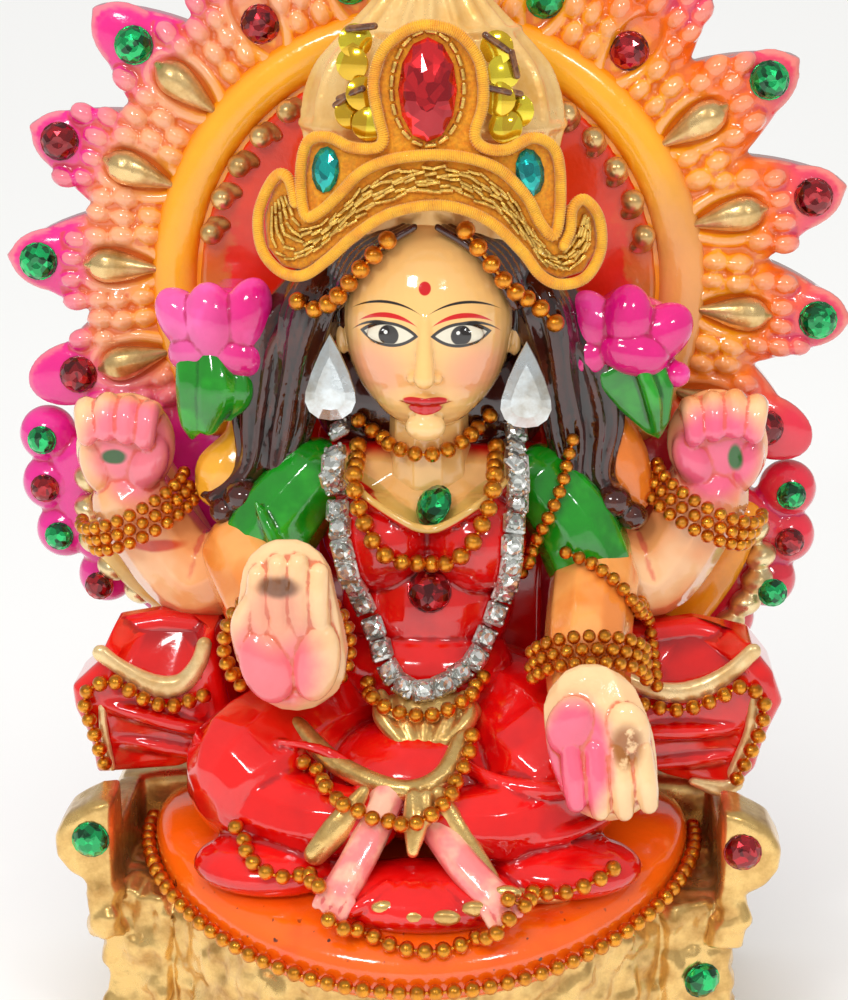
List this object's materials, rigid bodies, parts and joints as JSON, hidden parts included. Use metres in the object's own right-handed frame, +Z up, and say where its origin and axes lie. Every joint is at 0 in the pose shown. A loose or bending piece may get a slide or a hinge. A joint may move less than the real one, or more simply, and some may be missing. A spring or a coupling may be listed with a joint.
{
  "type": "lakshmi idol",
  "caption": "Painted casting of a seated four-armed goddess with lotuses, a petalled aureole and a throne, dressed with bead strings, glass stones and a cloth crown.",
  "frame": {"origin": "middle of the underside's width, on the underside, below the seated figure", "axes": "+Z up, +X to the viewer's right as seen from the front, and the figure looks along -Y"},
  "size_m": [0.1575, 0.0844, 0.2168],
  "materials": {
    "painted_casting": "gloss",
    "gold_beads": "gloss",
    "rhinestone_chain": "polished",
    "green_stone": "gloss",
    "red_stone": "gloss",
    "mirror_drop": "polished",
    "crown_felt": "matt",
    "crown_cord": "satin",
    "crown_bullion": "polished",
    "crown_ruby": "gloss",
    "crown_turquoise": "gloss",
    "crown_sequins": "gloss"
  },
  "bodies": {
    "root": {"idol_casting": "painted_casting", "hair_beads_left": "gold_beads", "hair_beads_right": "gold_beads", "choker_beads": "gold_beads", "necklace_beads": "gold_beads", "sash_beads": "gold_beads", "arm_beads": "gold_beads", "waist_beads": "gold_beads", "girdle_beads": "gold_beads", "knee_beads_left": "gold_beads", "knee_beads_right": "gold_beads", "hem_beads": "gold_beads", "scarf_beads_left": "gold_beads", "scarf_beads_right": "gold_beads", "bangle_back_left": "gold_beads", "bangle_back_right": "gold_beads", "bangle_front_left": "gold_beads", "bangle_front_right": "gold_beads", "seat_rim_beads": "gold_beads", "stone_chain": "rhinestone_chain", "leaf_stone_1": "red_stone", "leaf_stone_2": "green_stone", "leaf_stone_3": "red_stone", "leaf_stone_4": "green_stone", "leaf_stone_5": "red_stone", "leaf_stone_6": "green_stone", "leaf_stone_7": "red_stone", "leaf_stone_8": "green_stone", "leaf_stone_9": "red_stone", "leaf_stone_10": "green_stone", "leaf_stone_11": "red_stone", "leaf_stone_12": "green_stone", "leaf_stone_13": "red_stone", "lobe_stone_left_1": "green_stone", "lobe_stone_left_2": "red_stone", "lobe_stone_left_3": "green_stone", "lobe_stone_left_4": "red_stone", "lobe_stone_right_1": "green_stone", "lobe_stone_right_2": "red_stone", "lobe_stone_right_3": "green_stone", "pendant_stone": "green_stone", "bodice_stone": "red_stone", "throne_stone_left": "green_stone", "throne_stone_right": "red_stone", "throne_stone_low": "green_stone", "mirror_drop_left": "mirror_drop", "mirror_drop_right": "mirror_drop", "crown_felt": "crown_felt", "crown_upper_cord": "crown_cord", "crown_crescent_cord": "crown_cord", "crown_bullion": "crown_bullion", "crown_ruby": "crown_ruby", "crown_turquoise_left": "crown_turquoise", "crown_turquoise_right": "crown_turquoise", "crown_sequins_left": "crown_sequins", "crown_sequins_right": "crown_sequins"}
  },
  "joints": []
}
